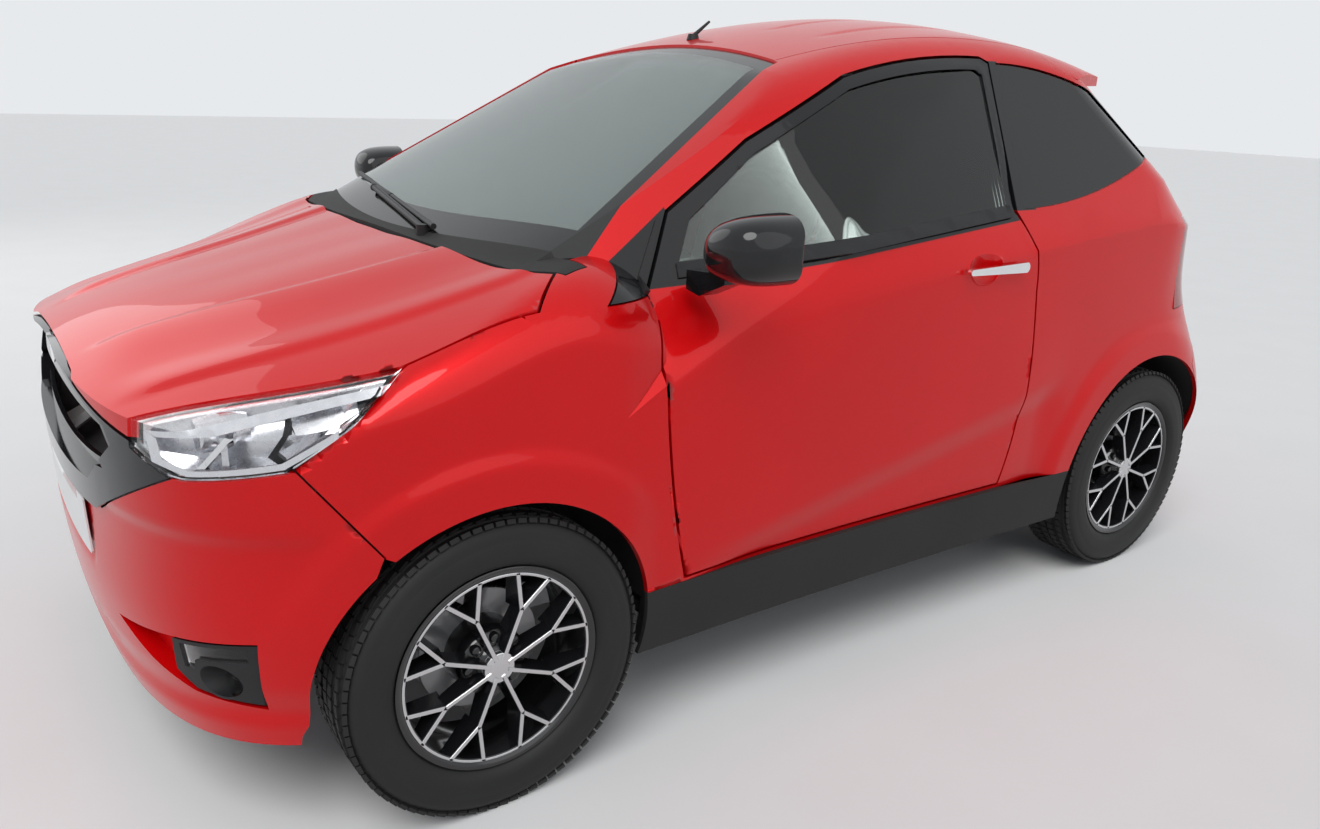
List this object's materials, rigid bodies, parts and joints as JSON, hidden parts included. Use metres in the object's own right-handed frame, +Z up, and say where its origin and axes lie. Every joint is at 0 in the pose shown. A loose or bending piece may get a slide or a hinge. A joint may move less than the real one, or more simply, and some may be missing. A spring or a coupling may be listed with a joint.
{
  "type": "two-seat microcar",
  "caption": "Small three-door hatchback microcar with opening doors, bonnet and tailgate, turning wheels and linked steering.",
  "frame": {"origin": "on the ground, midway between the ends and sides of the car", "axes": "+Z up, front of the car towards -Y, the car's left side towards +X"},
  "size_m": [1.81, 2.9204, 1.4236],
  "materials": {
    "red_paint": "gloss",
    "black_gloss": "gloss",
    "black_satin": "satin",
    "black_matt": "matt",
    "tinted_glass": "gloss",
    "privacy_glass": "gloss",
    "lamp_glass": "gloss",
    "lamp_reflector": "gloss",
    "red_lens": "gloss",
    "tyre_rubber": "matt",
    "wheel_alloy": "machined faces over gloss black",
    "cast_steel": "matt",
    "frame_alloy": "satin",
    "exhaust_steel": "satin",
    "chrome_trim": "gloss",
    "cabin_plastic": "matt",
    "seat_cloth": "matt",
    "floor_plastic": "matt"
  },
  "bodies": {
    "body": {"side_frames": "red_paint", "quarter_glass": "privacy_glass", "sail_panels": "black_gloss", "roof": "red_paint", "windscreen": "tinted_glass", "tail_lamps": "red_lens", "front_wings": "red_paint", "front_bumper": "red_paint", "rear_bumper": "red_paint", "sills": "black_matt", "headlamp_lenses": "lamp_glass", "headlamps": "lamp_reflector", "grille": "black_gloss", "fog_lamps": "black_satin", "fog_lenses": "lamp_glass", "engine_block": "cast_steel", "chassis_frame": "frame_alloy", "strut_towers": "frame_alloy", "lamp_carriers": "frame_alloy", "floor_tub": "floor_plastic", "arch_liners": "floor_plastic", "front_arms": "cast_steel", "strut_rods": "chrome_trim", "rear_axle": "cast_steel", "exhaust": "exhaust_steel", "dashboard": "cabin_plastic", "seats": "seat_cloth", "scuttle": "black_matt", "wiper": "black_satin", "antenna": "black_satin"},
    "bonnet": {"bonnet": "red_paint"},
    "door_left": {"door_left": "red_paint", "door_glass_left": "tinted_glass", "mirror_left": "black_gloss", "handle_left": "chrome_trim"},
    "door_right": {"door_right": "red_paint", "door_glass_right": "tinted_glass", "mirror_right": "black_gloss", "handle_right": "chrome_trim"},
    "tailgate": {"tailgate": "red_paint", "tailgate_glass": "privacy_glass"},
    "steering_wheel": {"steering_wheel": "cabin_plastic"},
    "knuckle_left": {"knuckle_left": "cast_steel"},
    "knuckle_right": {"knuckle_right": "cast_steel"},
    "wheel_front_left": {"tyre_front_left": "tyre_rubber", "rim_front_left": "wheel_alloy"},
    "wheel_front_right": {"tyre_front_right": "tyre_rubber", "rim_front_right": "wheel_alloy"},
    "wheel_rear_left": {"tyre_rear_left": "tyre_rubber", "rim_rear_left": "wheel_alloy"},
    "wheel_rear_right": {"tyre_rear_right": "tyre_rubber", "rim_rear_right": "wheel_alloy"}
  },
  "joints": [
    {"name": "steering", "type": "hinge", "parent": "body", "child": "steering_wheel", "pos_m": [0.28, -0.2625, 0.8], "axis": [0, 0.8829, 0.4695], "range_deg": [-420, 420]},
    {"name": "steer_left", "type": "hinge", "parent": "body", "child": "knuckle_left", "pos_m": [0.608, -0.9025, 0.18], "axis": [-0.1742, 0, 0.9847], "range_deg": [-30, 30]},
    {"name": "steer_right", "type": "hinge", "parent": "body", "child": "knuckle_right", "pos_m": [-0.608, -0.9025, 0.18], "axis": [0.1742, 0, 0.9847], "range_deg": [-30, 30]},
    {"name": "spin_front_left", "type": "hinge", "parent": "knuckle_left", "child": "wheel_front_left", "pos_m": [0.6635, -0.9025, 0.2785], "axis": [1, 0, 0], "continuous": true},
    {"name": "spin_front_right", "type": "hinge", "parent": "knuckle_right", "child": "wheel_front_right", "pos_m": [-0.6635, -0.9025, 0.2785], "axis": [1, 0, 0], "continuous": true},
    {"name": "spin_rear_left", "type": "hinge", "parent": "body", "child": "wheel_rear_left", "pos_m": [0.6635, 1.0195, 0.2785], "axis": [1, 0, 0], "continuous": true},
    {"name": "spin_rear_right", "type": "hinge", "parent": "body", "child": "wheel_rear_right", "pos_m": [-0.6635, 1.0195, 0.2785], "axis": [1, 0, 0], "continuous": true},
    {"name": "door_left_hinge", "type": "hinge", "parent": "body", "child": "door_left", "pos_m": [0.735, -0.5275, 0.6], "axis": [0, 0, -1], "range_deg": [0, 60]},
    {"name": "door_right_hinge", "type": "hinge", "parent": "body", "child": "door_right", "pos_m": [-0.735, -0.5275, 0.6], "axis": [0, 0, 1], "range_deg": [0, 60]},
    {"name": "bonnet_hinge", "type": "hinge", "parent": "body", "child": "bonnet", "pos_m": [0, -0.7025, 0.93], "axis": [-1, 0, 0], "range_deg": [0, 50]},
    {"name": "tailgate_hinge", "type": "hinge", "parent": "body", "child": "tailgate", "pos_m": [0, 0.9875, 1.312], "axis": [1, 0, 0], "range_deg": [0, 70]}
  ],
  "couplings": [
    {"joint": "steer_left", "follows": "steering", "ratio": 0.0714},
    {"joint": "steer_right", "follows": "steering", "ratio": 0.0714}
  ]
}
